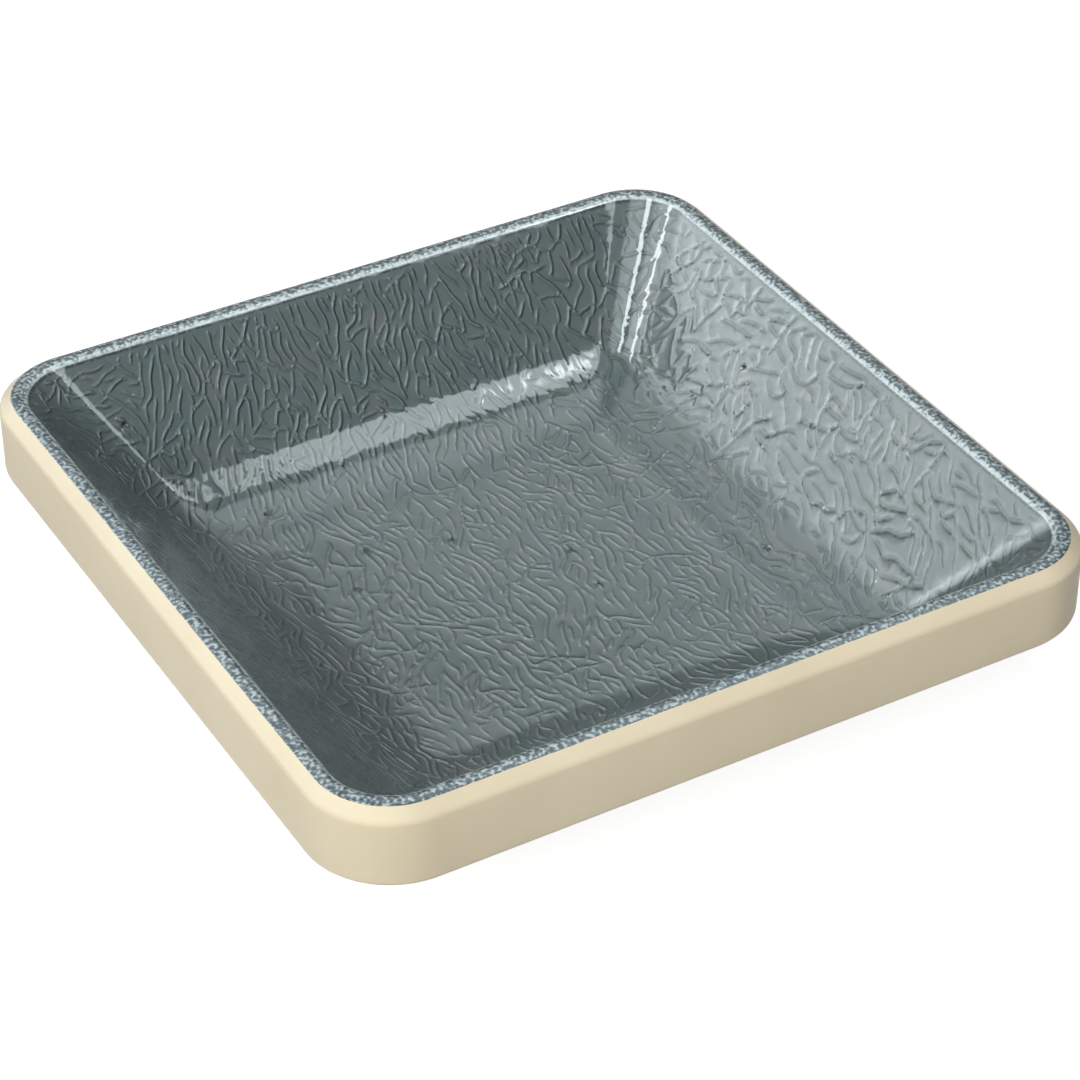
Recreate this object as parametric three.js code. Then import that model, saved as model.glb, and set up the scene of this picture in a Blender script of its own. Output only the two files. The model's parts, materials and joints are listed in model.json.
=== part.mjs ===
// Square stoneware bowl: a pressed clay body with a glossy crackle glaze in the well,
// a cream matte coat outside and a bare foot ring. Millimetres, +Z up, standing on z = 0.
//
// Every surface is a loft through level rounded squares. A station of a loft has a half
// width, a height z and the corner radius of its square.
import * as THREE from 'three';
import { mergeVertices } from 'three/addons/utils/BufferGeometryUtils.js';

// Upright band and rim
const bowlWidth = 150; // across the flat sides of the band
const bandCornerRadius = 15.6;
const bandHeight = 15.5; // from the glaze edge down to the ledge
const bandFootRadius = 1.4;
const bevelWidth = 2.2; // cream bevel between the band and the glaze edge
const bevelDrop = 2.0;
const bevelRadius = 1.6;
const crestWidth = 2.2; // glazed land on top of the rim
const crestRise = 0.5;
const crestRadius = 1.1;

// Well
const wellDepth = 29.5; // from the glaze edge down to the floor
const wellWallAngle = 50; // degrees up from the floor
const wellFilletRadius = 27;
const floorCornerRadius = 8; // where the walls would meet the floor

// Clay body and its underside
const wallThickness = 6.5;
const floorThickness = 6;
const ledgeCoveRadius = 4;
const underBendRadius = 16;
const underCornerRadius = 18;

// Foot ring
const footHeight = 2.2;
const footSetback = 0.6; // from the bend of the underside to the ring
const footRingWidth = 4.2; // bare clay that stands on the table
const footCornerRadius = 12;
const footCoveRadius = 0.9;
const footEdgeRadius = 0.5;
const bareFootHeight = 0.9; // clay left bare below the edge of the coats

// Fired coats
const glazeThickness = 0.8;
const coatThickness = 0.5;

// Finishes
const clayFinish = { color: 0xc9b28c, roughness: 0.8, metalness: 0 };
const glazeFinish = { color: 0x647070, roughness: 0.12, metalness: 0 };
const coatFinish = { color: 0xe3d5b4, roughness: 0.6, metalness: 0 };

// Facets
const facetTolerance = 0.05; // furthest that a facet of a profile arc may lie inside it
const cornerSteps = 8; // facets round one corner of a square
const leastTurn = 0.01; // radians; a profile that turns by less runs straight on

const degrees = Math.PI / 180;

// One corner of a profile: round is the radius that the profile turns with there.
function corner(half, z, squareRadius, round = 0) {
  return { half, z, squareRadius, round };
}

function mix(from, to, share) {
  const station = {};
  for (const key of ['half', 'z', 'squareRadius']) {
    station[key] = from[key] + (to[key] - from[key]) * share;
  }
  return station;
}

function direction(from, to) {
  return new THREE.Vector2(to.half - from.half, to.z - from.z).normalize();
}

// The stations of a profile, with its corners turned into arcs.
function stations(corners) {
  const list = [mix(corners[0], corners[0], 0)];
  for (let i = 1; i < corners.length - 1; i += 1) {
    list.push(...turn(corners[i - 1], corners[i], corners[i + 1]));
  }
  const last = corners[corners.length - 1];
  list.push(mix(last, last, 0));
  return list;
}

function turn(before, at, after) {
  const into = direction(before, at);
  const out = direction(at, after);
  const bend = Math.atan2(into.cross(out), into.dot(out));
  if (at.round <= 0 || Math.abs(bend) < leastTurn) {
    return [mix(at, at, 0)];
  }
  const reach = at.round * Math.tan(Math.abs(bend) / 2);
  const start = mix(at, before, reach / Math.hypot(before.half - at.half, before.z - at.z));
  const end = mix(at, after, reach / Math.hypot(after.half - at.half, after.z - at.z));
  const side = Math.sign(bend);
  const centre = { half: start.half - side * into.y * at.round, z: start.z + side * into.x * at.round };
  const widest = 2 * Math.acos(1 - facetTolerance / at.round);
  const steps = Math.max(2, Math.ceil(Math.abs(bend) / widest));
  const arc = [];
  for (let i = 0; i <= steps; i += 1) {
    const angle = Math.atan2(into.y, into.x) + bend * (i / steps) - side * Math.PI / 2;
    const station = mix(start, end, i / steps);
    station.half = centre.half + at.round * Math.cos(angle);
    station.z = centre.z + at.round * Math.sin(angle);
    arc.push(station);
  }
  return arc;
}

// The profile under a coat: each straight moves in by its own thickness, and neighbours meet again.
// Squares keep the centres of their corner arcs, so a coat is as thick round a corner.
function under(corners, thicknesses) {
  return corners.map((at, i) => {
    const first = i === 0;
    const last = i === corners.length - 1;
    const into = first ? direction(at, corners[1]) : direction(corners[i - 1], at);
    const out = last ? into : direction(at, corners[i + 1]);
    const depthIn = thicknesses[first ? 0 : i - 1];
    const depthOut = thicknesses[last ? i - 1 : i];
    const bend = into.cross(out);
    const slide = Math.abs(bend) < leastTurn ? 0 : (depthOut - into.dot(out) * depthIn) / bend;
    const half = first ? at.half : at.half + into.y * depthIn + into.x * slide;
    const z = at.z - into.x * depthIn + into.y * slide;
    const round = at.round > 0 ? Math.max(0, at.round + Math.sign(bend) * depthIn) : 0;
    return corner(half, z, at.squareRadius + half - at.half, round);
  });
}

// A level rounded square, counter-clockwise from above.
function ring({ half, z, squareRadius }) {
  const points = [];
  const centre = half - squareRadius;
  for (let quarter = 0; quarter < 4; quarter += 1) {
    const [cx, cy] = [[1, 1], [-1, 1], [-1, -1], [1, -1]][quarter];
    for (let i = 0; i <= cornerSteps; i += 1) {
      const angle = (quarter + i / cornerSteps) * Math.PI / 2;
      const x = cx * centre + squareRadius * Math.cos(angle);
      const y = cy * centre + squareRadius * Math.sin(angle);
      points.push([x, y, z]);
    }
  }
  return points;
}

// The triangles of a skin from one station to the next. A station on the axis closes it with a fan.
function skin(list) {
  const triangles = [];
  for (let i = 0; i < list.length - 1; i += 1) {
    const from = list[i];
    const to = list[i + 1];
    const near = from.half > 0 ? ring(from) : null;
    const far = to.half > 0 ? ring(to) : null;
    const count = (near ?? far).length;
    for (let j = 0; j < count; j += 1) {
      const next = (j + 1) % count;
      if (!near) {
        triangles.push([[0, 0, from.z], far[j], far[next]]);
      } else if (!far) {
        triangles.push([near[j], [0, 0, to.z], near[next]]);
      } else {
        triangles.push([near[j], far[j], far[next]], [near[j], far[next], near[next]]);
      }
    }
  }
  return triangles;
}

function flipped(triangles) {
  return triangles.map(([a, b, c]) => [a, c, b]);
}

function piece(name, triangles, finish) {
  const faceted = new THREE.BufferGeometry();
  faceted.setAttribute('position', new THREE.Float32BufferAttribute(triangles.flat(2), 3));
  const geometry = mergeVertices(faceted);
  geometry.computeVertexNormals();
  const mesh = new THREE.Mesh(geometry, new THREE.MeshStandardMaterial(finish));
  mesh.name = name;
  return mesh;
}

// Levels and half widths
const bandHalf = bowlWidth / 2;
const edgeHalf = bandHalf - bevelWidth;
const crestHalf = edgeHalf - crestWidth;
const undersideZ = footHeight;
const floorZ = undersideZ + floorThickness;
const edgeZ = floorZ + wellDepth;
const crestZ = edgeZ + crestRise;
const ledgeZ = edgeZ - bandHeight;
const wallRun = 1 / Math.tan(wellWallAngle * degrees); // run of the well wall for each mm of height
const wallFootHalf = crestHalf - (crestZ - floorZ) * wallRun;
const wallOffset = wallThickness / Math.sin(wellWallAngle * degrees); // thickness measured level
const underHalfAt = (z) => crestHalf - (crestZ - z) * wallRun + wallOffset;
const underBendHalf = underHalfAt(undersideZ);
const underBendReach = underBendRadius * Math.tan(wellWallAngle * degrees / 2);
const footHalf = underBendHalf - underBendReach - footSetback;
const bareOuterHalf = footHalf - coatThickness;
const bareInnerHalf = bareOuterHalf - footRingWidth;
const baseHalf = bareInnerHalf - coatThickness;

// Corner radii of the squares at the rim, which share their centres with the band's corners
const edgeCornerRadius = bandCornerRadius - bevelWidth;
const crestCornerRadius = edgeCornerRadius - crestWidth;
const bareOuterCorner = footCornerRadius - coatThickness;
const bareInnerCorner = bareOuterCorner - footRingWidth;
const baseCorner = bareInnerCorner - coatThickness;

// The glaze and the outer coat as they are seen, from the middle of the well over the rim to the foot
const wellCorners = [
  corner(0, floorZ, 0),
  corner(wallFootHalf, floorZ, floorCornerRadius, wellFilletRadius),
  corner(crestHalf, crestZ, crestCornerRadius, crestRadius),
];
const glazeEdge = corner(edgeHalf, edgeZ, edgeCornerRadius);
const outsideCorners = [
  corner(bandHalf, edgeZ - bevelDrop, bandCornerRadius, bevelRadius),
  corner(bandHalf, ledgeZ, bandCornerRadius, bandFootRadius),
  corner(underHalfAt(ledgeZ), ledgeZ, underCornerRadius, ledgeCoveRadius),
  corner(underBendHalf, undersideZ, underCornerRadius, underBendRadius),
  corner(footHalf, undersideZ, footCornerRadius, footCoveRadius),
  corner(footHalf, bareFootHeight, footCornerRadius),
];
const seen = [...wellCorners, glazeEdge, ...outsideCorners];
const thicknesses = seen.slice(1).map((_, i) => (i < wellCorners.length ? glazeThickness : coatThickness));
const clay = under(seen, thicknesses);
const rimIndex = wellCorners.length;

// The coat of the base, from the foot ring in to the axis
const baseCorners = [
  corner(baseHalf, bareFootHeight, baseCorner),
  corner(baseHalf, undersideZ, baseCorner, footCoveRadius),
  corner(0, undersideZ, 0),
];
const clayBaseZ = undersideZ + coatThickness;
const clayBaseCorners = [
  corner(bareInnerHalf, bareFootHeight, bareInnerCorner),
  corner(bareInnerHalf, clayBaseZ, bareInnerCorner, footCoveRadius + coatThickness),
  corner(0, clayBaseZ, 0),
];

const glazeTop = stations(seen.slice(0, rimIndex + 1));
const glazeBed = stations(clay.slice(0, rimIndex + 1));
const coatFace = stations(seen.slice(rimIndex));
const coatBed = stations(clay.slice(rimIndex));
const baseFace = stations(baseCorners);
const baseBed = stations(clayBaseCorners);
const bareRing = stations([
  coatBed.at(-1),
  corner(bareOuterHalf, 0, bareOuterCorner, footEdgeRadius),
  corner(bareInnerHalf, 0, bareInnerCorner, footEdgeRadius),
  baseBed[0],
]);

// Where the glaze and the outer coat meet on the rim, and where the coats stop on the foot ring
const rimJoint = skin([glazeTop.at(-1), glazeBed.at(-1)]);
const coatStop = skin([coatFace.at(-1), coatBed.at(-1)]);
const baseStop = skin([baseBed[0], baseFace[0]]);

const bowl = new THREE.Group();
bowl.name = 'square_bowl';
bowl.add(
  piece(
    'stoneware_body',
    [...skin(glazeBed), ...skin(coatBed), ...skin(bareRing), ...skin(baseBed)],
    clayFinish,
  ),
  piece(
    'crackle_glaze_lining',
    [...skin(glazeTop), ...rimJoint, ...flipped(skin(glazeBed))],
    glazeFinish,
  ),
  piece(
    'outer_matte_coat',
    [...flipped(rimJoint), ...skin(coatFace), ...coatStop, ...flipped(skin(coatBed))],
    coatFinish,
  ),
  piece(
    'base_matte_coat',
    [...baseStop, ...skin(baseFace), ...flipped(skin(baseBed))],
    coatFinish,
  ),
);

export default bowl;
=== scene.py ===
import json
import math
import random

import bmesh
import bpy
import numpy as np
from mathutils import Matrix, Vector, kdtree, noise
from mathutils.geometry import delaunay_2d_cdt

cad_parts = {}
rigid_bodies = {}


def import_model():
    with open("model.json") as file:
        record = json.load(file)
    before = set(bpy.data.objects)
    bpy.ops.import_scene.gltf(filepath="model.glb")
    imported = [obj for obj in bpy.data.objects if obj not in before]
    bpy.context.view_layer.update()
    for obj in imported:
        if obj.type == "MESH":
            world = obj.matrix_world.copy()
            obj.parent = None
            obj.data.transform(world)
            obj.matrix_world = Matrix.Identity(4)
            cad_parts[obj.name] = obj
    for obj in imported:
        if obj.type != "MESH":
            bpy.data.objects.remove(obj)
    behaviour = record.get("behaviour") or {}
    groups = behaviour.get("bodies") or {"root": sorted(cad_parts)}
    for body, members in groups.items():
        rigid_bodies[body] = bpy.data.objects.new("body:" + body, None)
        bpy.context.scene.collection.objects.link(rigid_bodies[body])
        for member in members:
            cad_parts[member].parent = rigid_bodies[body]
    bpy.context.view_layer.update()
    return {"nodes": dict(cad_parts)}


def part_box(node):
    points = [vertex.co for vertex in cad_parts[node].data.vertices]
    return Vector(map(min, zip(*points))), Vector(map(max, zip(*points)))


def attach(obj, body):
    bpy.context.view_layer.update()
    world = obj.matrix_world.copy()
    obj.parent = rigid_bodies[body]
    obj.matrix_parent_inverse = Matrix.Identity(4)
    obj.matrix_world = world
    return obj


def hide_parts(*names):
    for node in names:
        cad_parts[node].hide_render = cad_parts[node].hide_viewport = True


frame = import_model()
mm = 0.001  # sizes below are in millimetres, Blender works in metres
print("frame loaded:", ", ".join(sorted(frame["nodes"])))

# Sizes that more than one piece follows
bowl = {
    "half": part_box("outer_matte_coat")[1].x / mm,
    "bandCorner": 15.6,
    "bandHeight": 15.5,
    "bevelWidth": 2.2,
    "bevelDrop": 2.0,
    "crestWidth": 2.2,
    "crestRise": 0.5,
    "floorZ": 8.2,
    "wellDepth": 29.5,
    "wallAngle": math.radians(50),
    "wallThickness": 6.5,
    "undersideZ": 2.2,
    "bareZ": 0.9,  # the coats stop here, the clay below is bare
    "footHalf": 40.82,
    "footCorner": 12.0,
    "footRingWidth": 4.2,
    "glazeThickness": 0.8,
    "coatThickness": 0.5,
}
edgeHalf = bowl["half"] - bowl["bevelWidth"]
crestHalf = edgeHalf - bowl["crestWidth"]
edgeZ = bowl["floorZ"] + bowl["wellDepth"]
crestZ = edgeZ + bowl["crestRise"]
ledgeZ = edgeZ - bowl["bandHeight"]
edgeCorner = bowl["bandCorner"] - bowl["bevelWidth"]
crestCorner = edgeCorner - bowl["crestWidth"]
wallRun = 1 / math.tan(bowl["wallAngle"])  # how far the wall runs out for each mm up

# How the lofted skins are made
skin = {
    "fewestSteps": 3,  # in the arc of a turned corner
    "leastCorner": 0.5,
    "mergeDistance": 1e-7,  # metres
    "smoothAngle": math.radians(40),
}


def wallHalf(z):
    return crestHalf - (crestZ - z) * wallRun


def underHalf(z):
    return wallHalf(z) + bowl["wallThickness"] / math.sin(bowl["wallAngle"])


# Stations (half, z, cornerRadius) along a profile. Its corners (half, z, cornerRadius, turnRadius)
# are rounded with their turnRadius
def roundedProfile(corners, arcStep):
    stations = [corners[0][:3]]
    for before, at, after in zip(corners, corners[1:], corners[2:]):
        here, turnRadius = np.array(at[:3]), at[3]
        toBefore, toAfter = np.array(before[:3]) - here, np.array(after[:3]) - here
        lengthBefore, lengthAfter = np.hypot(*toBefore[:2]), np.hypot(*toAfter[:2])
        into, out = -toBefore[:2] / lengthBefore, toAfter[:2] / lengthAfter
        bend = math.atan2(into[0] * out[1] - into[1] * out[0], into @ out)
        reach = turnRadius * math.tan(abs(bend) / 2)
        start = here + toBefore * reach / lengthBefore
        end = here + toAfter * reach / lengthAfter
        side = math.copysign(1, bend)
        centre = start[:2] + side * turnRadius * np.array([-into[1], into[0]])
        steps = max(skin["fewestSteps"], math.ceil(abs(bend) * turnRadius / arcStep))
        for i in range(steps + 1):
            angle = math.atan2(into[1], into[0]) + bend * i / steps - side * math.pi / 2
            place = centre + turnRadius * np.array([math.cos(angle), math.sin(angle)])
            stations.append((place[0], place[1], start[2] + (end[2] - start[2]) * i / steps))
    stations.append(corners[-1][:3])
    return stations


# The same profile moved to its left side, or to its right where the distance is negative
def offsetProfile(stations, distance):
    places = np.array(stations)
    along = np.gradient(places[:, :2], axis=0)
    along /= np.hypot(along[:, 0], along[:, 1])[:, None]
    moved = places.copy()
    moved[:, 0] -= along[:, 1] * distance
    moved[:, 1] += along[:, 0] * distance
    moved[:, 2] = np.maximum(places[:, 2] + moved[:, 0] - places[:, 0], skin["leastCorner"])
    return [tuple(station) for station in moved]


def deselectAll():
    if bpy.context.object and bpy.context.object.mode != 'OBJECT':
        bpy.ops.object.mode_set(mode='OBJECT')
    bpy.ops.object.select_all(action='DESELECT')


# Extrudes the last rounded square and moves the copy to the next station, round its corner centres
def extrudeSquare(mesh, station, following):
    (half, z, radius), (newHalf, newZ, newRadius) = station, following
    bpy.ops.mesh.extrude_region_move()
    shape = bmesh.from_edit_mesh(mesh)
    for vert in shape.verts:
        if vert.select:
            for axis in (0, 1):
                reach = (abs(vert.co[axis]) / mm - (half - radius)) / radius
                vert.co[axis] = math.copysign(newHalf - newRadius + newRadius * reach, vert.co[axis]) * mm
            vert.co.z = newZ * mm
    bmesh.update_edit_mesh(mesh)


# A skin through a row of level rounded squares. Closed joins the last square to the first,
# otherwise both ends are filled with a face
def loftSquares(name, stations, segments, closed):
    deselectAll()
    half, z, radius = stations[0]
    bpy.ops.mesh.primitive_plane_add(size=2 * half * mm)
    piece = bpy.context.object
    piece.name = piece.data.name = name
    bpy.ops.object.mode_set(mode='EDIT')
    bpy.ops.mesh.bevel(offset=radius * mm, segments=segments, profile=0.5, affect='VERTICES')
    bpy.ops.mesh.delete(type='ONLY_FACE')
    bpy.ops.mesh.select_all(action='SELECT')
    bpy.ops.transform.translate(value=(0, 0, z * mm))
    path = stations + stations[:1] if closed else stations
    for station, following in zip(path, path[1:]):
        extrudeSquare(piece.data, station, following)
    bpy.ops.mesh.select_all(action='SELECT')
    if closed:
        bpy.ops.mesh.remove_doubles(threshold=skin["mergeDistance"])
    else:
        bpy.ops.mesh.fill_holes(sides=0)
    bpy.ops.mesh.normals_make_consistent(inside=False)
    bpy.ops.object.mode_set(mode='OBJECT')
    bpy.ops.object.shade_smooth_by_angle(angle=skin["smoothAngle"])
    return piece


# The glaze as it is seen, from the middle of the well out to its edge on the rim
well = {
    "filletRadius": 27.0,
    "floorCorner": 4.5,
    "crestRadius": 2.0,
    "arcStep": 0.15,
}
wellFootHalf = wallHalf(bowl["floorZ"])
glazeFace = roundedProfile([
    (0.0, bowl["floorZ"], 0.0, 0),
    (wellFootHalf, bowl["floorZ"], well["floorCorner"], well["filletRadius"]),
    (crestHalf, crestZ, crestCorner, well["crestRadius"]),
    (edgeHalf, edgeZ, edgeCorner, 0),
], well["arcStep"])

# The outside of the bowl, from the edge of the glaze down to the bare foot
outside = {
    "bevelRadius": 1.6,
    "bandFootRadius": 1.4,
    "coveRadius": 4.0,
    "underCorner": 18.0,
    "underBendRadius": 16.0,
    "footCoveRadius": 0.9,
    "arcStep": 0.35,
    "cornerSegments": 24,
}
coatFace = roundedProfile([
    (edgeHalf, edgeZ, edgeCorner, 0),
    (bowl["half"], edgeZ - bowl["bevelDrop"], bowl["bandCorner"], outside["bevelRadius"]),
    (bowl["half"], ledgeZ, bowl["bandCorner"], outside["bandFootRadius"]),
    (underHalf(ledgeZ), ledgeZ, outside["underCorner"], outside["coveRadius"]),
    (underHalf(bowl["undersideZ"]), bowl["undersideZ"], outside["underCorner"], outside["underBendRadius"]),
    (bowl["footHalf"], bowl["undersideZ"], bowl["footCorner"], outside["footCoveRadius"]),
    (bowl["footHalf"], bowl["bareZ"], bowl["footCorner"], 0),
], outside["arcStep"])
coatBed = offsetProfile(coatFace, -bowl["coatThickness"])
coatSkin = coatFace + coatBed[::-1]
outerCoat = loftSquares("outer_matte_coat_skin", coatSkin, outside["cornerSegments"], closed=True)
print("outer coat:", len(outerCoat.data.polygons), "faces")

# The coat inside the foot ring
base = {
    "coveRadius": 0.9,
    "middleHalf": 6.0,  # the flat middle is one face
    "middleCorner": 2.0,
    "arcStep": 0.25,
    "cornerSegments": 16,
}
bareOuterHalf = bowl["footHalf"] - bowl["coatThickness"]
bareOuterCorner = bowl["footCorner"] - bowl["coatThickness"]
bareInnerHalf = bareOuterHalf - bowl["footRingWidth"]
bareInnerCorner = bareOuterCorner - bowl["footRingWidth"]
baseHalf = bareInnerHalf - bowl["coatThickness"]
baseCorner = bareInnerCorner - bowl["coatThickness"]
clayBaseZ = bowl["undersideZ"] + bowl["coatThickness"]
baseFace = roundedProfile([
    (baseHalf, bowl["bareZ"], baseCorner, 0),
    (baseHalf, bowl["undersideZ"], baseCorner, base["coveRadius"]),
    (base["middleHalf"], bowl["undersideZ"], base["middleCorner"], 0),
], base["arcStep"])
baseBed = roundedProfile([
    (bareInnerHalf, bowl["bareZ"], bareInnerCorner, 0),
    (bareInnerHalf, clayBaseZ, bareInnerCorner, base["coveRadius"] + bowl["coatThickness"]),
    (base["middleHalf"], clayBaseZ, base["middleCorner"], 0),
], base["arcStep"])
baseSkin = baseFace[::-1] + baseBed
baseCoat = loftSquares("base_matte_coat_skin", baseSkin, base["cornerSegments"], closed=False)
print("base coat:", len(baseCoat.data.polygons), "faces")

# The clay under the coats, bare on the foot ring
clay = {
    "footEdgeRadius": 0.5,
    "floorHalf": 12.0,  # the flat middle under the glaze is one face
    "floorCorner": 4.0,
    "floorDip": 1.2,
    "cornerSegments": 16,
    "arcStep": 0.9,
}
clayFloorZ = bowl["floorZ"] - bowl["glazeThickness"]
clayWell = roundedProfile([
    (clay["floorHalf"], clayFloorZ - clay["floorDip"], clay["floorCorner"], 0),
    (wellFootHalf, clayFloorZ, well["floorCorner"], well["filletRadius"]),
    (crestHalf, crestZ - 2 * bowl["glazeThickness"], crestCorner, well["crestRadius"]),
    (edgeHalf - bowl["glazeThickness"], edgeZ - 2 * bowl["glazeThickness"], edgeCorner, 0),
], clay["arcStep"])
bareRing = roundedProfile([
    (bareOuterHalf, bowl["bareZ"] + bowl["coatThickness"], bareOuterCorner, 0),
    (bareOuterHalf, 0, bareOuterCorner, clay["footEdgeRadius"]),
    (bareInnerHalf, 0, bareInnerCorner, clay["footEdgeRadius"]),
    (bareInnerHalf, bowl["bareZ"], bareInnerCorner, 0),
], base["arcStep"])
claySkin = clayWell + coatBed[2:-1] + bareRing + baseBed[1:]  # without the stations where they meet
stoneware = loftSquares("stoneware_body_skin", claySkin, clay["cornerSegments"], closed=False)
print("clay body:", len(stoneware.data.polygons), "faces")

# Crackle glaze: lines are grown over the unrolled face of the glaze, and the mesh follows them
crackle = {
    "seed": 11,
    "tries": 40000,
    "mapCell": 1.0,
    "runRepeats": 4,  # the corner share follows from the run, so both are found in a few rounds
    "spacing": 1.6,  # between neighbouring lines
    "rightWallSpacing": 2.1,
    "spacingShare": (0.62, 1.0),  # how much of the spacing a new line keeps
    "bare": 1.0,  # how much wider the gaps are in the emptiest places
    "bareSize": 8.0,
    "turnSpread": 0.22,  # how much the lines' main directions differ, radians
    "rightWallSpread": 0.3,  # and how much more they do on the right wall
    "rightWallTurn": -0.4,  # lines there run down the wall as they come forward
    "rightWallBlend": 15.0,
    "leftWallTurn": 1.3,  # lines there run up the wall
    "leftWallStart": 50.0,
    "leftWallBlend": 8.0,
    "step": 0.55,
    "joinGap": 0.7,  # a line that comes this near to another one ends on it,
    "keepGap": 1.15,  # and one that runs along it ends this far off
    "alongSine": 0.6,  # sine of the angle up to which it runs along it
    "length": (3.0, 15.0),
    "fewestPoints": 4,
    "wander": 0.7,  # how far lines stray from their main direction, radians
    "wanderSize": 11.0,
    "wiggle": 1.0,
    "wiggleSize": 3.0,
    "acrossShare": 0.15,  # share of lines that run across the others
    "acrossTurn": (0.7, 1.5),
    "crossShare": 0.06,  # share of places on a line that start a short cross line, for each mm
    "crossTurn": (0.8, 1.5),
    "crossLength": 5.0,
    "strength": (0.5, 1.0),  # share of the full height that a line has
    "crossStrength": (0.5, 0.9),
    "endStrength": 0.45,  # lines fade to this share at their ends
    "endLength": 0.9,
    "ridgeHalf": 0.62,  # from the middle of a ridge to its foot
    "ridgeHeight": 0.062,
    "rightWallHeight": 0.14,
    "backWallHeight": 0.04,
    "leftWallHeight": 0.16,
    "cornerHeight": 0.03,
    "wallStart": 45.0,  # on the unrolled face
    "wallBlend": 10.0,
    "wallSideBlend": 12.0,  # from a corner's diagonal
    "cornerStart": 42.0,
    # the ridges' colour below includes their painted light
    "rightWallClear": 0.35,  # how much less the ridges differ in colour there
    "sampleStep": 0.2,
    "ridgeEnd": 0.95,  # share of its half width at which a ridge has come down to the face
    "swell": 0.02,  # slow rise and fall of the glaze between lines
    "swellSize": 5.0,
    "dish": 1.2,  # how far the middle of the floor has sunk
    "dishRadius": 48.0,
    "pinholes": 18,
    "pinholeReach": 70.0,
    "pinholeRadius": (0.3, 0.65),
    "pinholeDepth": 0.35,
    "pinholeRings": (0.55, 1.15),  # for a radius of 1
    "pinholePoints": 8,
    "pinholeGap": 0.1,  # least gap between points of the mesh, here and on the next three lines
    "ridgeGap": 0.25,
    "footGap": 0.24,
    "fillGap": 0.6,
    "squareGap": 0.3,  # between the points and the rim, before and after its corners are rounded
    "rimGap": 0.35,
    "pointStep": 0.85,  # along a line
    "fillSpacing": 1.4,
    "fillJitter": 0.3,
    "mergeGap": 1e-6,
    "rimFade": 1.0,  # the relief fades out over this length before the rim
    "rimReach": 1.7,  # how far the rim's rings reach down inside the crest
    "columns": 600,  # points round the rim
    "crestRings": 12,
    "crestLump": 0.05,  # unevenness of the glaze on the rim
    "lumpMean": 0.5,
    "lumpSize": 0.9,
    "slowLump": 0.6,  # share of the wider lumps
    "slowLumpSize": 2.5,
    "edgeTuck": 0.05,
    "clayStride": 7,  # the back of the glaze takes every seventh station of the clay
}
facePlaces = np.array(glazeFace)
faceRun = np.concatenate([[0], np.cumsum(np.hypot(*np.diff(facePlaces[:, :2], axis=0).T))])
crestStart = faceRun[-1] - (bowl["crestWidth"] + crackle["rimReach"])
roundShare = np.concatenate([[well["floorCorner"] / wellFootHalf], facePlaces[1:, 2] / facePlaces[1:, 0]])


# How far out a point of the unrolled face lies, measured along the profile
# to the rounded square that it is on
def runOf(u, v):
    a, b = np.maximum(abs(u), abs(v)), np.minimum(abs(u), abs(v))
    run = a.astype(float)
    for repeat in range(crackle["runRepeats"]):
        share = np.interp(run, faceRun, roundShare)
        straight = 1 - share
        square = 2 * straight ** 2 - share ** 2
        inner = (straight * (a + b)) ** 2 - square * (a * a + b * b)
        bent = (straight * (a + b) - np.sqrt(np.maximum(inner, 0))) / square
        run = np.where(b <= a * straight, a, bent)
    return run


# The places on the bowl of points of the unrolled face, and how far out they lie
def placeOf(u, v):
    run = runOf(u, v)
    half = np.interp(run, faceRun, facePlaces[:, 0])
    z = np.interp(run, faceRun, facePlaces[:, 1])
    scale = np.where(run > 1e-6, half / np.maximum(run, 1e-6), 1.0)
    return np.stack([u * scale, v * scale, z], axis=1), run


# Even points round a rounded square, counter-clockwise; share is the corner radius for a half width of 1
def squareRing(half, share, count):
    straight, radius = 1 - share, share
    quarter = 2 * straight + radius * math.pi / 2
    u, v = np.zeros(count), np.zeros(count)
    for i in range(count):
        side, at = divmod(i / count * 4, 1)
        at *= quarter
        if at < straight:
            x, y = 1.0, at
        elif at < straight + radius * math.pi / 2:
            angle = (at - straight) / radius
            x, y = straight + radius * math.cos(angle), straight + radius * math.sin(angle)
        else:
            x, y = quarter - at, 1.0
        turn = side * math.pi / 2
        u[i] = half * (x * math.cos(turn) - y * math.sin(turn))
        v[i] = half * (x * math.sin(turn) + y * math.cos(turn))
    return u, v


# The level way that each point's rounded square faces
def outwardWay(flat, run):
    share = np.interp(run, faceRun, roundShare)
    reach = abs(flat) - (run * (1 - share))[:, None]
    way = np.maximum(reach, 0) * np.sign(flat)
    way[run < 1e-6] = (1, 0)
    length = np.hypot(way[:, 0], way[:, 1])
    way[length < 1e-9] = (1, 0)
    return way / np.hypot(way[:, 0], way[:, 1])[:, None]


# 0 up to start, 1 from the end of the blend on, and an even rise between
def rampUp(value, start, blend):
    return np.clip((value - start) / blend, 0, 1)


# Smooth noise over the unrolled face; each layer is another pattern
def faceNoise(u, v, layer, size):
    return noise.noise(Vector((u, v, layer)) / size)


# Points sorted into square cells, to find near ones quickly
class LineMap:
    def __init__(self, cell):
        self.cell = cell
        self.cells = {}

    def add(self, x, y, owner, heading=0.0):
        key = (math.floor(x / self.cell), math.floor(y / self.cell))
        self.cells.setdefault(key, []).append((x, y, owner, heading))

    # The nearest point of another line within reach: its place, heading and how far off it is
    def nearest(self, x, y, reach, ignore=None):
        best = None
        spread = math.ceil(reach / self.cell)
        column, row = math.floor(x / self.cell), math.floor(y / self.cell)
        for i in range(column - spread, column + spread + 1):
            for j in range(row - spread, row + spread + 1):
                for px, py, owner, heading in self.cells.get((i, j), ()):
                    gap = math.hypot(px - x, py - y)
                    if owner != ignore and gap < reach:
                        reach, best = gap, (px, py, heading, gap)
        return best


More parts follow.
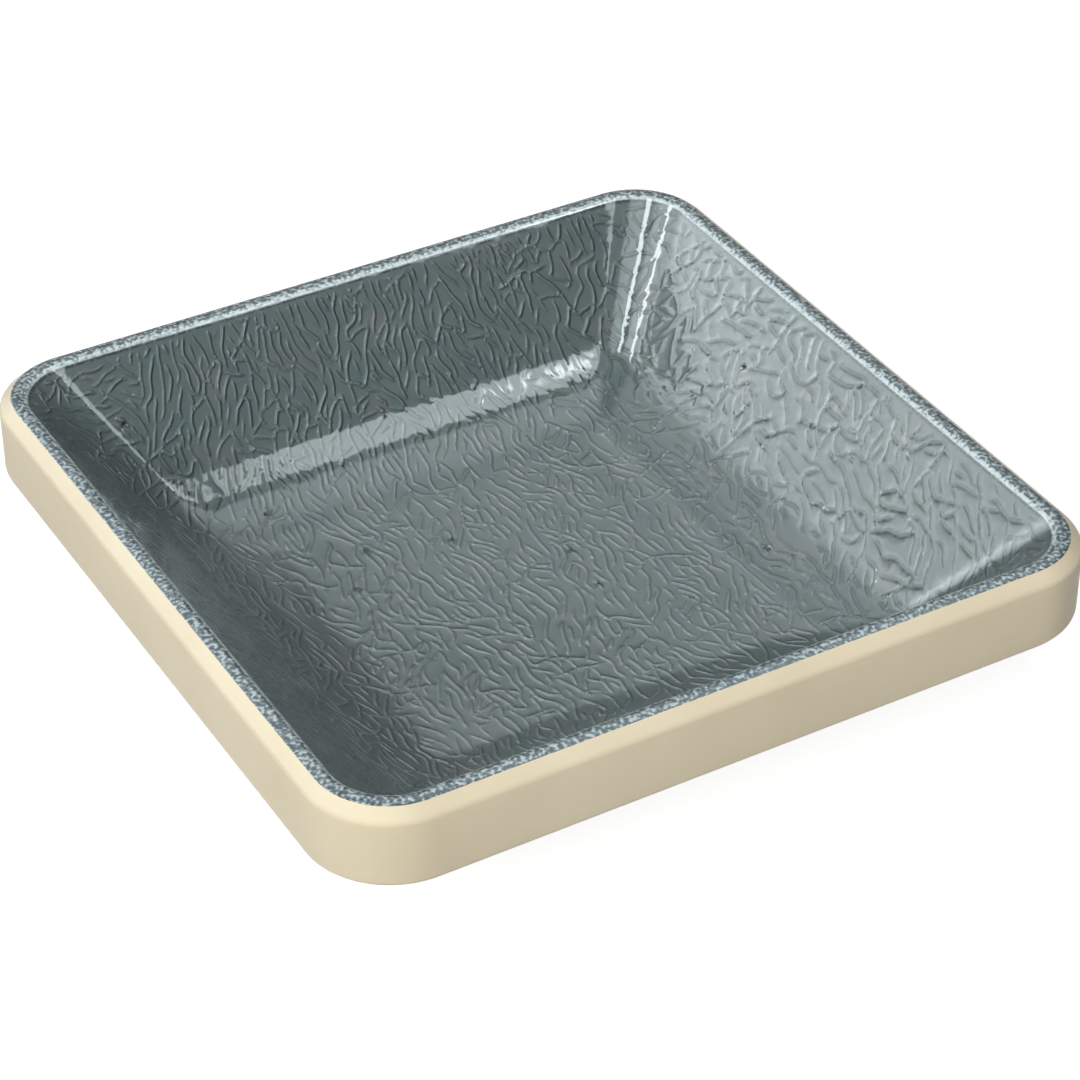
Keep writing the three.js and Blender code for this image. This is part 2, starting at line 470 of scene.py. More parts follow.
def lineDirection(x, y, turn):
    slow = faceNoise(x, y, 3.1, crackle["wanderSize"])
    fast = faceNoise(x, y, 7.7, crackle["wiggleSize"])
    return math.pi / 2 + turn + crackle["wander"] * slow + crackle["wiggle"] * fast


# Grows a line both ways from its first point, until it is long enough or meets another
def growLine(lines, owner, x, y, turn, longest, limit):
    halves = []
    for way in (1, -1):
        path = []
        px, py = x, y
        while len(path) * crackle["step"] < longest / 2:
            heading = lineDirection(px, py, turn)
            px += way * crackle["step"] * math.cos(heading)
            py += way * crackle["step"] * math.sin(heading)
            if max(abs(px), abs(py)) > limit:
                break
            met = lines.nearest(px, py, crackle["keepGap"], owner)
            if met and abs(math.sin(heading - met[2])) < crackle["alongSine"] and len(path) > 1:
                break
            joins = met and met[3] < crackle["joinGap"]
            path.append(met[:2] if joins else (px, py))
            if joins:
                break
        halves.append(path)
    return halves[1][::-1] + [(x, y)] + halves[0]


# Lines over the whole face, as (path, strength)
def crackleLines():
    rng = random.Random(crackle["seed"])
    lines, grown = LineMap(crackle["mapCell"]), []
    limit = crestStart
    for attempt in range(crackle["tries"]):
        x, y = rng.uniform(-limit, limit), rng.uniform(-limit, limit)
        rightWall = float(rampUp(x, crackle["wallStart"], crackle["rightWallBlend"]))
        leftWall = float(rampUp(-x, crackle["leftWallStart"], crackle["leftWallBlend"]))
        gap = crackle["spacing"] + (crackle["rightWallSpacing"] - crackle["spacing"]) * rightWall
        gap *= 1 + crackle["bare"] * max(0, faceNoise(x, y, 11.3, crackle["bareSize"]))
        spread = crackle["turnSpread"] + crackle["rightWallSpread"] * rightWall
        turn = rng.gauss(crackle["rightWallTurn"] * rightWall, spread)
        turn += crackle["leftWallTurn"] * leftWall
        if rng.random() < crackle["acrossShare"]:
            turn += rng.choice((-1, 1)) * rng.uniform(*crackle["acrossTurn"])
        longest = rng.uniform(*crackle["length"])
        if lines.nearest(x, y, gap * rng.uniform(*crackle["spacingShare"])):
            continue
        path = growLine(lines, len(grown), x, y, turn, longest, limit)
        if len(path) < crackle["fewestPoints"]:
            continue
        for i, (px, py) in enumerate(path):
            (ax, ay), (bx, by) = path[max(i - 1, 0)], path[min(i + 1, len(path) - 1)]
            lines.add(px, py, len(grown), math.atan2(by - ay, bx - ax))
        grown.append((path, rng.uniform(*crackle["strength"])))
    for path, strength in list(grown):
        for x, y in path[2:-2]:
            if rng.random() > crackle["crossShare"] * crackle["step"]:
                continue
            turn = rng.choice((-1, 1)) * rng.uniform(*crackle["crossTurn"])
            cross = growLine(lines, None, x, y, turn, crackle["crossLength"], limit)
            if len(cross) >= crackle["fewestPoints"]:
                grown.append((cross, rng.uniform(*crackle["crossStrength"])))
    return grown


# Points along a path at even steps, with the share of the full height there: lines fade out at their ends
def evenPoints(path, strength, step):
    places = np.array(path)
    gaps = np.hypot(*np.diff(places, axis=0).T)
    places = places[np.concatenate([[True], gaps > 1e-6])]
    run = np.concatenate([[0], np.cumsum(gaps[gaps > 1e-6])])
    at = np.linspace(0, run[-1], max(2, int(run[-1] / step) + 1))
    u, v = np.interp(at, run, places[:, 0]), np.interp(at, run, places[:, 1])
    fade = np.minimum(1, crackle["endStrength"] + np.minimum(at, run[-1] - at) / crackle["endLength"])
    return u, v, strength * fade


def pinholePlaces(rng):
    holes = []
    reach = crackle["pinholeReach"]
    for i in range(crackle["pinholes"]):
        u, v = rng.uniform(-reach, reach), rng.uniform(-reach, reach)
        holes.append((u, v, rng.uniform(*crackle["pinholeRadius"])))
    return holes


# Points along the ridges and their feet and round the pinholes, with a loose grid between them
def facePoints(grown, holes, rng):
    taken, points = LineMap(crackle["fillGap"]), []

    def take(u, v, gap):
        if max(abs(u), abs(v)) < crestStart - crackle["squareGap"] and not taken.nearest(u, v, gap):
            taken.add(u, v, None)
            points.append((u, v))

    for u, v, radius in holes:
        take(u, v, crackle["pinholeGap"])
        for angle in np.linspace(0, 2 * math.pi, crackle["pinholePoints"], endpoint=False):
            for ring in crackle["pinholeRings"]:
                reach = ring * radius
                take(u + reach * math.cos(angle), v + reach * math.sin(angle), crackle["pinholeGap"])
    rows = [evenPoints(path, strength, crackle["pointStep"]) for path, strength in grown]
    for u, v, height in rows:
        for i in range(len(u)):
            take(u[i], v[i], crackle["ridgeGap"])
    for u, v, height in rows:
        du, dv = np.gradient(u), np.gradient(v)
        reach = crackle["ridgeHalf"] / np.maximum(np.hypot(du, dv), 1e-6)
        for side in (-1, 1):
            for i in range(len(u)):
                take(u[i] - side * dv[i] * reach[i], v[i] + side * du[i] * reach[i], crackle["footGap"])
    cell, jitter = crackle["fillSpacing"], crackle["fillJitter"]
    count = int(crestStart / cell)
    for i in range(-count, count + 1):
        for j in range(-count, count + 1):
            u, v = (i + rng.uniform(-jitter, jitter)) * cell, (j + rng.uniform(-jitter, jitter)) * cell
            take(u, v, crackle["fillGap"])
    flat = np.array(points)
    return flat[runOf(flat[:, 0], flat[:, 1]) < crestStart - crackle["rimGap"]]


# Height of a full ridge at each point, and how far the point is on the right wall
def ridgeHeights(u, v):
    start, blend, sideBlend = crackle["wallStart"], crackle["wallBlend"], crackle["wallSideBlend"]
    onRight = rampUp(u, start, blend) * rampUp(u - abs(v), 0, sideBlend)
    onBack = rampUp(v, start, blend) * rampUp(v - abs(u), 0, sideBlend)
    onLeft = rampUp(-u, start, blend) * rampUp(-u - abs(v), 0, sideBlend)
    inCorner = rampUp(np.minimum(abs(u), abs(v)), crackle["cornerStart"], blend)
    full = crackle["ridgeHeight"]
    for name, share in (
        ("rightWallHeight", onRight),
        ("backWallHeight", onBack),
        ("leftWallHeight", onLeft),
        ("cornerHeight", inCorner),
    ):
        full = full + (crackle[name] - crackle["ridgeHeight"]) * share
    return full, onRight


# How much of a ridge and of a pinhole each point shows, and its height over the even face
def faceRelief(flat, run, grown, holes):
    samples = []
    for path, strength in grown:
        samples.extend(zip(*evenPoints(path, strength, crackle["sampleStep"])))
    tree = kdtree.KDTree(len(samples))
    for i, (u, v, height) in enumerate(samples):
        tree.insert((u, v, 0), i)
    tree.balance()
    ridge, pit = np.zeros(len(flat)), np.zeros(len(flat))
    for i, (u, v) in enumerate(flat):
        place, index, gap = tree.find((u, v, 0))
        ridge[i] = samples[index][2] * max(0, 1 - gap / (crackle["ridgeEnd"] * crackle["ridgeHalf"]))
    for u, v, radius in holes:
        gap = np.hypot(flat[:, 0] - u, flat[:, 1] - v)
        pit = np.maximum(pit, np.exp(-(gap / radius) ** 2))
    inside = rampUp(crestStart - run, 0, crackle["rimFade"])  # no relief where the rim's rings begin
    ridge *= inside
    swell = np.array([faceNoise(u, v, 0, crackle["swellSize"]) for u, v in flat])
    full, onRight = ridgeHeights(flat[:, 0], flat[:, 1])
    height = crackle["swell"] * swell + full * ridge - crackle["pinholeDepth"] * pit
    dish = crackle["dish"] * np.clip(1 - (flat ** 2).sum(axis=1) / crackle["dishRadius"] ** 2, 0, 1) ** 2
    shown = ridge * (1 - crackle["rightWallClear"] * onRight)
    return shown, pit, height * inside - dish


# Points of the well on the unrolled face, and triangles between them. The last points are
# the rim's first ring
def wellFace(grown, holes, rng):
    ringU, ringV = squareRing(1.0, np.interp(crestStart, faceRun, roundShare), crackle["columns"])
    ring = np.stack([ringU, ringV], axis=1) * crestStart
    flat = np.concatenate([facePoints(grown, holes, rng), ring])
    made = delaunay_2d_cdt([Vector(place) for place in flat], [], [], 0, crackle["mergeGap"])
    source = [came[0] for came in made[3]]  # the triangles count the points in their own order
    return flat, [tuple(source[i] for i in triangle) for triangle in made[2]]


# Places of the well's points with their relief, and what the material reads: ridge, pinhole and rim
def raisedFace(flat, grown, holes):
    places, run = placeOf(flat[:, 0], flat[:, 1])
    ridge, pit, height = faceRelief(flat, run, grown, holes)
    rise = np.interp(run, faceRun, np.gradient(facePlaces[:, 1], faceRun))
    out = np.interp(run, faceRun, np.gradient(facePlaces[:, 0], faceRun))
    sideways = outwardWay(flat, run)
    normal = np.stack([-rise * sideways[:, 0], -rise * sideways[:, 1], out], axis=1)
    return list(places + normal * height[:, None]), list(zip(ridge, pit, np.zeros(len(flat))))


# Rounded squares (half, z, corner share, rim share) over the crest, down its edge and back along the clay
def rimStations():
    stations = []
    for at in np.linspace(crestStart, faceRun[-1], crackle["crestRings"] + 1)[1:]:
        half, z = np.interp(at, faceRun, facePlaces[:, 0]), np.interp(at, faceRun, facePlaces[:, 1])
        rim = (at - crestStart) / (faceRun[-1] - crestStart)
        stations.append((half, z, np.interp(at, faceRun, roundShare), rim))
    underEdgeZ = edgeZ - bowl["glazeThickness"]
    stations.append((edgeHalf - crackle["edgeTuck"], underEdgeZ, edgeCorner / edgeHalf, 1.0))
    for half, z, cornerRadius in clayWell[-2:0:-crackle["clayStride"]] + clayWell[:1]:
        stations.append((half, z, cornerRadius / half, 0.0))
    return stations


# Unevenness of the rim, none where it meets the well and the cream coat
def rimLump(u, v, rim):
    bumpy = faceNoise(u, v, 0, crackle["lumpSize"])
    bumpy += crackle["slowLump"] * faceNoise(u, v, 5, crackle["slowLumpSize"])
    return crackle["crestLump"] * max(0, crackle["lumpMean"] + bumpy) * 4 * rim * (1 - rim)


# Adds the rim and the back of the glaze, ring by ring, to the face of the well
def addRim(verts, marks, faces):
    columns = crackle["columns"]
    ring = range(len(verts) - columns, len(verts))
    for half, z, share, rim in rimStations():
        u, v = squareRing(half, share, columns)
        following = range(len(verts), len(verts) + columns)
        for i in range(columns):
            verts.append(np.array([u[i], v[i], z - rimLump(u[i], v[i], rim)]))
            marks.append((0.0, 0.0, rim))
        for i in range(columns):
            j = (i + 1) % columns
            faces.append((ring[i], following[i], following[j], ring[j]))
        ring = following
    faces.append(tuple(ring[::-1]))


def buildGlaze():
    grown = crackleLines()
    total = sum(len(path) for path, strength in grown) * crackle["step"]
    print("crackle:", len(grown), "lines,", round(total), "mm")
    rng = random.Random(crackle["seed"] + 1)
    holes = pinholePlaces(rng)
    flat, faces = wellFace(grown, holes, rng)
    print("glaze face:", len(flat), "points,", len(faces), "triangles")
    verts, marks = raisedFace(flat, grown, holes)
    addRim(verts, marks, faces)

    deselectAll()
    mesh = bpy.data.meshes.new("crackle_glaze_skin")
    mesh.from_pydata([tuple(place * mm) for place in verts], [], faces)
    for column, name in enumerate(("ridge", "pinhole", "rim")):
        layer = mesh.attributes.new(name, 'FLOAT', 'POINT')
        layer.data.foreach_set("value", [mark[column] for mark in marks])
    piece = bpy.data.objects.new("crackle_glaze_skin", mesh)
    bpy.context.collection.objects.link(piece)
    bpy.context.view_layer.objects.active = piece
    piece.select_set(True)
    bpy.ops.object.shade_smooth()
    return piece


glaze = buildGlaze()
print("glaze:", len(glaze.data.vertices), "points,", len(glaze.data.polygons), "faces")


# Shader node helpers
def newMaterial(name):
    material = bpy.data.materials.new(name)
    material.use_nodes = True
    nodes = material.node_tree.nodes
    return material, nodes, material.node_tree.links, nodes["Principled BSDF"]


def mixColour(nodes, links, factor, first, second):
    node = nodes.new("ShaderNodeMix")
    node.data_type = 'RGBA'
    links.new(factor, node.inputs["Factor"])
    for socket, value in ((node.inputs[6], first), (node.inputs[7], second)):
        if isinstance(value, tuple):
            socket.default_value = (*value, 1)
        else:
            links.new(value, socket)
    return node.outputs[2]


def mapValue(nodes, links, value, span, result, kind='LINEAR'):
    node = nodes.new("ShaderNodeMapRange")
    node.interpolation_type = kind
    links.new(value, node.inputs["Value"])
    for names, amounts in ((("From Min", "From Max"), span), (("To Min", "To Max"), result)):
        for name, amount in zip(names, amounts):
            node.inputs[name].default_value = amount
    return node.outputs["Result"]


def joinValues(nodes, links, operation, values):
    total = values[0]
    for value in values[1:]:
        node = nodes.new("ShaderNodeMath")
        node.operation = operation
        links.new(total, node.inputs[0])
        links.new(value, node.inputs[1])
        total = node.outputs[0]
    return total


def addBump(nodes, links, height, distance, strength):
    bump = nodes.new("ShaderNodeBump")
    bump.inputs["Distance"].default_value = distance
    bump.inputs["Strength"].default_value = strength
    links.new(height, bump.inputs["Height"])
    return bump.outputs["Normal"]


# Firing mottle, shared by all three materials: slow cloudy patches and fine grain
def mottleGroup():
    group = bpy.data.node_groups.new("firingMottle", 'ShaderNodeTree')
    for name, value in (("Patch Scale", 60.0), ("Grain Scale", 1500.0)):
        socket = group.interface.new_socket(name, in_out='INPUT', socket_type='NodeSocketFloat')
        socket.default_value = value
    for name in ("Patches", "Grain"):
        group.interface.new_socket(name, in_out='OUTPUT', socket_type='NodeSocketFloat')
    nodes, links = group.nodes, group.links
    entry, leave = nodes.new("NodeGroupInput"), nodes.new("NodeGroupOutput")
    coordinates = nodes.new("ShaderNodeTexCoord")
    for scale, result, detail in (("Patch Scale", "Patches", 3.0), ("Grain Scale", "Grain", 0.7)):
        texture = nodes.new("ShaderNodeTexNoise")
        texture.inputs["Detail"].default_value = detail
        links.new(coordinates.outputs["Object"], texture.inputs["Vector"])
        links.new(entry.outputs[scale], texture.inputs["Scale"])
        links.new(texture.outputs["Fac"], leave.inputs[result])
    return group


firingMottle = mottleGroup()


def addMottle(nodes, look):
    node = nodes.new("ShaderNodeGroup")
    node.node_tree = firingMottle
    node.inputs["Patch Scale"].default_value = look["patchScale"]
    node.inputs["Grain Scale"].default_value = look["grainScale"]
    return node.outputs["Patches"], node.outputs["Grain"]


# Spans are the stretch of a pattern or an attribute over which a mix goes from its first to its second share
glazeLook = {
    "patchScale": 140.0,
    "grainScale": 1350.0,
    "thick": (0.063, 0.090, 0.089),
    "thin": (0.081, 0.102, 0.099),
    "thinSpan": (0.35, 0.65),
    "blush": (0.095, 0.100, 0.098),
    "blushSpan": (0.60, 0.66),
    "blushShare": (0.0, 0.9),
    # ridges are paler where the glaze runs thin over them, and partly a painted light side of the raised
    # lines
    "ridgeThinAndLitColour": (0.210, 0.252, 0.250),
    "ridgeThinAndLitSpan": (0.15, 0.8),
    "ridgeThinAndLitShare": (0.0, 0.8),
    # painted shade: the pits are filled near-black
    "pinholeShadeColour": (0.004, 0.006, 0.006),
    "pinholeShadeSpan": (0.2, 0.6),
    # from the well to the edge of the glaze: a painted shade line, a pale bead that is partly glaze breaking
    # pale on the crest and partly a painted highlight, grey-blue crest, dark blue edge
    "rimRampWithPaintedLight": (
        (0.00, (0.063, 0.090, 0.089)),
        # painted shade line under the crest
        (0.06, (0.032, 0.045, 0.045)),
        (0.14, (0.032, 0.045, 0.045)),
        # pale bead: glaze breaking pale on the crest, partly a painted highlight
        (0.21, (0.560, 0.610, 0.620)),
        (0.36, (0.560, 0.610, 0.620)),
        (0.44, (0.080, 0.105, 0.112)),
        (0.55, (0.140, 0.175, 0.188)),
        (0.80, (0.170, 0.205, 0.218)),
        (0.90, (0.120, 0.150, 0.162)),
        (0.97, (0.045, 0.068, 0.080)),
    ),
    "rimSpan": (0.0, 0.04),
    "darkSpot": (0.022, 0.044, 0.058),
    "darkSpotSpan": (0.38, 0.50),
    "darkSpotShare": (0.9, 0.0),
    "paleSpot": (0.640, 0.700, 0.710),
    "paleSpotSpan": (0.54, 0.62),
    "paleSpotShare": (0.0, 0.6),
    "spottedSpan": (0.12, 0.42),
    "spottedShare": (0.2, 1.0),
    "ridgeSlope": 0.00065,  # metres
    "rimGrain": 0.5,
    "rimGrainSpan": (0.0, 0.3),
    "roughness": (0.36, 0.5),
    "roughSpan": (0.3, 0.7),
    "coatRoughness": 0.045,
}


# Colour of the glaze on the rim, ramped from the well to the edge and spotted, with a painted shade line and
# a pale bead that is partly a painted highlight
def rimGlazeAndPaintedLight(nodes, links, rim, grain):
    ramp = nodes.new("ShaderNodeValToRGB")
    links.new(rim, ramp.inputs["Fac"])
    stops = ramp.color_ramp.elements
    while len(stops) < len(glazeLook["rimRampWithPaintedLight"]):
        stops.new(0.5)
    for stop, (place, shade) in zip(stops, glazeLook["rimRampWithPaintedLight"]):
        stop.position, stop.color = place, (*shade, 1)
    plain = spotted = ramp.outputs["Color"]
    for name in ("darkSpot", "paleSpot"):
        spots = mapValue(nodes, links, grain, glazeLook[name + "Span"], glazeLook[name + "Share"])
        spotted = mixColour(nodes, links, spots, spotted, glazeLook[name])
    onCrest = mapValue(nodes, links, rim, glazeLook["spottedSpan"], glazeLook["spottedShare"])
    return mixColour(nodes, links, onCrest, plain, spotted)


def glazeMaterial():
    material, nodes, links, shader = newMaterial("crackle_glaze_look")
    patches, grain = addMottle(nodes, glazeLook)
    marks = {}
    for name in ("ridge", "pinhole", "rim"):
        attribute = nodes.new("ShaderNodeAttribute")
        attribute.attribute_name = name
        marks[name] = attribute.outputs["Fac"]

    thinner = mapValue(nodes, links, patches, glazeLook["thinSpan"], (0.0, 1.0))
    colour = mixColour(nodes, links, thinner, glazeLook["thick"], glazeLook["thin"])
    blush = mapValue(nodes, links, patches, glazeLook["blushSpan"], glazeLook["blushShare"])
    colour = mixColour(nodes, links, blush, colour, glazeLook["blush"])
    # paler ridges: thin glaze, and partly painted light on the raised lines
    ridgeThinAndLitMix = mapValue(nodes, links, marks["ridge"], glazeLook["ridgeThinAndLitSpan"], glazeLook["ridgeThinAndLitShare"])
    colour = mixColour(nodes, links, ridgeThinAndLitMix, colour, glazeLook["ridgeThinAndLitColour"])
    # the rim's colour, with its painted shade line and partly painted highlight
    rimRampShare = mapValue(nodes, links, marks["rim"], glazeLook["rimSpan"], (0.0, 1.0))
    colour = mixColour(nodes, links, rimRampShare, colour, rimGlazeAndPaintedLight(nodes, links, marks["rim"], grain))
    # painted shade in the pinholes
    pinholeShadeShare = mapValue(nodes, links, marks["pinhole"], glazeLook["pinholeShadeSpan"], (0.0, 1.0))
    colour = mixColour(nodes, links, pinholeShadeShare, colour, glazeLook["pinholeShadeColour"])
    links.new(colour, shader.inputs["Base Color"])

    gloss = mapValue(nodes, links, grain, glazeLook["roughSpan"], glazeLook["roughness"])
    links.new(gloss, shader.inputs["Roughness"])
    shader.inputs["Coat Weight"].default_value = 1.0
    shader.inputs["Coat Roughness"].default_value = glazeLook["coatRoughness"]

    rimShare = mapValue(nodes, links, marks["rim"], glazeLook["rimGrainSpan"], (0.0, glazeLook["rimGrain"]))
    rimGrain = joinValues(nodes, links, 'MULTIPLY', (rimShare, grain))
    ridge = mapValue(nodes, links, marks["ridge"], (0.0, 1.0), (0.0, 1.0), 'SMOOTHSTEP')
    relief = joinValues(nodes, links, 'ADD', (rimGrain, ridge))
    links.new(addBump(nodes, links, relief, glazeLook["ridgeSlope"], 1.0), shader.inputs["Normal"])
    return material


coatLook = {
    "patchScale": 45.0,
    "grainScale": 2600.0,
    "light": (0.80, 0.65, 0.465),
    "dark": (0.75, 0.60, 0.415),
    "darkSpan": (0.3, 0.7),
    "roughness": (0.48, 0.6),
    "roughSpan": (0.3, 0.7),
    "grainDepth": 0.00003,  # metres
    "grainStrength": 0.4,
}


def coatMaterial():
    material, nodes, links, shader = newMaterial("cream_coat_look")
    patches, grain = addMottle(nodes, coatLook)
    darker = mapValue(nodes, links, patches, coatLook["darkSpan"], (0.0, 1.0))
    colour = mixColour(nodes, links, darker, coatLook["light"], coatLook["dark"])
    links.new(colour, shader.inputs["Base Color"])
    gloss = mapValue(nodes, links, grain, coatLook["roughSpan"], coatLook["roughness"])
    links.new(gloss, shader.inputs["Roughness"])
    bump = addBump(nodes, links, grain, coatLook["grainDepth"], coatLook["grainStrength"])
    links.new(bump, shader.inputs["Normal"])
    return material


clayLook = {
    "patchScale": 160.0,
    "grainScale": 1800.0,
    "light": (0.60, 0.47, 0.30),
    "dark": (0.45, 0.33, 0.19),
    "darkSpan": (0.3, 0.7),
    "speck": (0.16, 0.10, 0.06),
    "speckScale": 900.0,
    "speckSpan": (0.14, 0.2),
    "speckShare": (0.8, 0.0),
    "roughness": 0.85,
    "grainDepth": 0.0001,  # metres
    "grainStrength": 0.6,
}


def clayMaterial():
    material, nodes, links, shader = newMaterial("bare_clay_look")
    patches, grain = addMottle(nodes, clayLook)
    darker = mapValue(nodes, links, patches, clayLook["darkSpan"], (0.0, 1.0))
    colour = mixColour(nodes, links, darker, clayLook["light"], clayLook["dark"])
    coordinates = nodes.new("ShaderNodeTexCoord")
    specks = nodes.new("ShaderNodeTexVoronoi")
    specks.inputs["Scale"].default_value = clayLook["speckScale"]
    links.new(coordinates.outputs["Object"], specks.inputs["Vector"])
    fromSpeck = specks.outputs["Distance"]
    isSpeck = mapValue(nodes, links, fromSpeck, clayLook["speckSpan"], clayLook["speckShare"])
    colour = mixColour(nodes, links, isSpeck, colour, clayLook["speck"])
    links.new(colour, shader.inputs["Base Color"])
    shader.inputs["Roughness"].default_value = clayLook["roughness"]
    bump = addBump(nodes, links, grain, clayLook["grainDepth"], clayLook["grainStrength"])
    links.new(bump, shader.inputs["Normal"])
    return material


creamCoat = coatMaterial()
for piece, material, node, slot in (
    (stoneware, clayMaterial(), "stoneware_body", "clay"),
    (glaze, glazeMaterial(), "crackle_glaze_lining", "crackle_glaze"),
    (outerCoat, creamCoat, "outer_matte_coat", "cream_coat"),
    (baseCoat, creamCoat, "base_matte_coat", "cream_coat"),
):
    piece.data.materials.clear()
    piece.data.materials.append(material)
    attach(piece, "root")
    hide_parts(node)
print("materials on")

# Studio: a pale floor, soft boxes, white cards and a dim surrounding
studio = {
    "floorSize": 6.0,
    "floorColour": (0.36, 0.36, 0.36),
    "floorGlow": 0.84,
    "ambient": 0.22,
    "lampColour": (0.90, 1.0, 1.02),
    "gridCard": "stripEndCard",  # a grid before this card keeps its shine out of the left corner
    "gridAim": (40.0, 55.0, 14.0),
    "gridBeam": math.radians(16),
}
softBoxes = (
    # name, way from the bowl, distance m, way of the box's first side, both sides m, radiance,
    # shares that fade out: at the ends of the first side, at the start and at the end of the second
    ("sunBox", (-0.69, -0.51, 0.51), 1.3, (0.59, -0.80, 0), (0.80, 0.60), 14.6, (0.25, 0.25, 0.25)),
    ("overBox", (-0.12, -0.18, 0.97), 1.3, (1, 0, 0), (0.80, 0.80), 5.3, (0.25, 0.25, 0.25)),
)
whiteCards = (
    # the same for cards that are only seen in reflections
    ("streakCard", (-0.46, -0.13, 0.88), 1.1, (-0.32, 0.88, -0.36), (0.15, 0.50), 16.0, (0.1, 0.1, 0.1)),
    ("otherStreakCard", (-0.64, 0.36, 0.68), 1.1, (-0.32, 0.88, -0.36), (0.14, 0.50), 15.0, (0.1, 0.1, 0.1)),
    ("leftCard", (-0.58, 0.20, 0.79), 1.2, (-0.22, 0.90, -0.54), (0.60, 0.45), 4.4, (0.3, 0.3, 0.3)),
    ("frontCard", (-0.27, -0.32, 0.91), 1.2, (-0.22, 0.90, 0.25), (0.50, 0.50), 3.4, (0.2, 0.2, 0.2)),
    ("sideCard", (-0.66, 0.47, 0.59), 1.2, (0.58, 0.81, 0), (0.60, 0.60), 3.4, (0.35, 0.35, 0.35)),
    ("backCard", (-0.42, 0.70, 0.57), 1.2, (0.73, 0.05, 0.68), (1.60, 0.70), 1.4, (0.5, 0.5, 0.5)),
    ("wallCard", (-0.464, 0.836, 0.292), 1.2, (0.875, 0.485, 0), (0.90, 0.87), 8.6, (0.5, 0.5, 0.5)),
    ("stripCard", (0.400, -0.398, 0.826), 0.778, (1, 0, 0), (0.19, 0.292), 5.6, (0.04, 0.04, 0.04)),
    ("stripEndCard", (0.497, -0.394, 0.773), 0.783, (1, 0, 0), (0.065, 0.23), 18.0, (0.3, 0.05, 0.05)),
    ("topCard", (0.42, 0.344, 0.84), 0.9, (1, 0, 0), (0.60, 1.01), 1.0, (0.2, 0.03, 0.1)),
    ("footCard", (0.40, 0.15, 0.90), 0.9, (1, 0, 0), (0.60, 0.52), 1.1, (0.2, 0.03, 0.5)),
    ("farCard", (0.02, 0.69, 0.72), 1.0, (1, 0, 0), (0.85, 0.50), 0.8, (0.3, 0.3, 0.3)),
)


# Shows the bright shader to the camera, in mirrors and through glass, and lights with the dim one
def seenWhite(nodes, links, dim, bright):
    rays = nodes.new("ShaderNodeLightPath")
    seen = [rays.outputs[name] for name in ("Is Camera Ray", "Is Glossy Ray", "Is Transmission Ray")]
    mix = nodes.new("ShaderNodeMixShader")
    links.new(joinValues(nodes, links, 'MAXIMUM', seen), mix.inputs["Fac"])
    links.new(dim, mix.inputs[1])
    links.new(bright, mix.inputs[2])
    return mix.outputs["Shader"]


# Lets the light of a lamp fall off towards its edges
def fadeEdges(lamp, fade):
    lamp.use_nodes = True
    nodes, links = lamp.node_tree.nodes, lamp.node_tree.links
    place = nodes.new("ShaderNodeNewGeometry")
    parts = nodes.new("ShaderNodeSeparateXYZ")
    links.new(place.outputs["Parametric"], parts.inputs[0])
    shares = []
    for axis, start, end in (("X", fade[0], fade[0]), ("Y", fade[1], fade[2])):
        shares.append(mapValue(nodes, links, parts.outputs[axis], (0.0, start), (0.0, 1.0)))
        shares.append(mapValue(nodes, links, parts.outputs[axis], (1 - end, 1.0), (1.0, 0.0)))
    links.new(joinValues(nodes, links, 'MULTIPLY', shares), nodes["Emission"].inputs["Strength"])


def addLamp(name, way, distance, side, size, radiance, fade, isCard):
    lamp = bpy.data.lights.new(name, 'AREA')
    lamp.shape = 'RECTANGLE'
    lamp.size, lamp.size_y = size
    lamp.energy = radiance * math.pi * size[0] * size[1]
    lamp.color = studio["lampColour"]
    fadeEdges(lamp, fade)
    holder = bpy.data.objects.new(name, lamp)
    aim = Vector((0, 0, bowl["floorZ"]))
    holder.location = Vector(way).normalized() * distance + aim * mm
    if name == studio["gridCard"]:
        aim = Vector(studio["gridAim"])
        halfBeam = studio["gridBeam"] / 2
        lamp.spread = studio["gridBeam"]
        lamp.energy *= 1 - halfBeam / math.tan(halfBeam)  # as bright along its axis as without the grid
    direction = (holder.location - aim * mm).normalized()
    across = (Vector(side) - direction * direction.dot(Vector(side))).normalized()
    holder.rotation_euler = Matrix((across, direction.cross(across), direction)).transposed().to_euler()
    holder.visible_diffuse, holder.visible_glossy = not isCard, isCard
    bpy.context.collection.objects.link(holder)


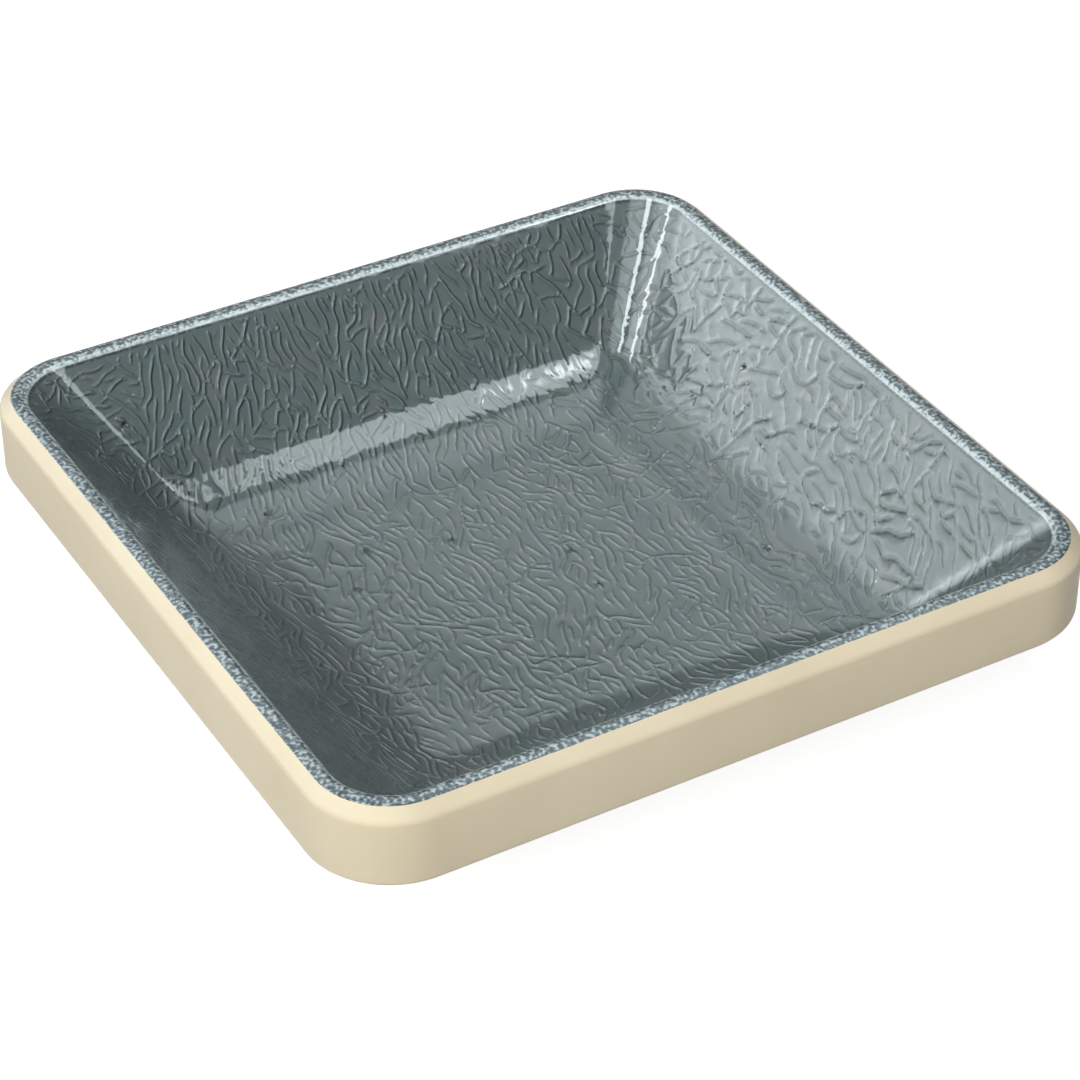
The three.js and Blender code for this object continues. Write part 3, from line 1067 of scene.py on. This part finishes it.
def buildFloor():
    deselectAll()
    bpy.ops.mesh.primitive_plane_add(size=studio["floorSize"])
    floor = bpy.context.object
    floor.name = "floor"
    material, nodes, links, shader = newMaterial("pale_floor")
    nodes.remove(shader)
    diffuse = nodes.new("ShaderNodeBsdfDiffuse")
    diffuse.inputs["Color"].default_value = (*studio["floorColour"], 1)
    glow = nodes.new("ShaderNodeEmission")
    glow.inputs["Strength"].default_value = studio["floorGlow"]
    both = nodes.new("ShaderNodeAddShader")
    links.new(diffuse.outputs[0], both.inputs[0])
    links.new(glow.outputs[0], both.inputs[1])
    seen = seenWhite(nodes, links, diffuse.outputs[0], both.outputs[0])
    links.new(seen, nodes["Material Output"].inputs["Surface"])
    floor.data.materials.append(material)


def buildStudio():
    buildFloor()
    world = bpy.data.worlds.new("studio")
    world.use_nodes = True
    surrounding = world.node_tree.nodes["Background"]
    surrounding.inputs["Strength"].default_value = studio["ambient"]
    surrounding.inputs["Color"].default_value = (1, 1, 1, 1)
    bpy.context.scene.world = world
    for lamp in softBoxes:
        addLamp(*lamp, isCard=False)
    for lamp in whiteCards:
        addLamp(*lamp, isCard=True)


buildStudio()

# Camera where the photograph was taken from
view = {
    "azimuth": math.radians(-30.140),
    "elevation": math.radians(36.318),
    "distance": 628.5,
    "lens": 115.38,
    "sensor": 36.0,
    "aimRight": 2.53,
    "aimBelowEdge": 17.78,
}


def buildCamera():
    azimuth, elevation = view["azimuth"], view["elevation"]
    right = Vector((math.cos(azimuth), math.sin(azimuth), 0))
    front = Vector((math.sin(azimuth), -math.cos(azimuth), 0))
    back = front * math.cos(elevation) + Vector((0, 0, math.sin(elevation)))
    aim = right * view["aimRight"] + Vector((0, 0, edgeZ - view["aimBelowEdge"]))
    camera = bpy.data.objects.new("camera", bpy.data.cameras.new("camera"))
    camera.data.lens = view["lens"]
    camera.data.sensor_width = view["sensor"]
    camera.location = (aim + back * view["distance"]) * mm
    camera.rotation_euler = back.to_track_quat('Z', 'Y').to_euler()
    bpy.context.collection.objects.link(camera)
    bpy.context.scene.camera = camera


buildCamera()
bpy.context.scene.view_settings.view_transform = 'Standard'
print("studio and camera set")
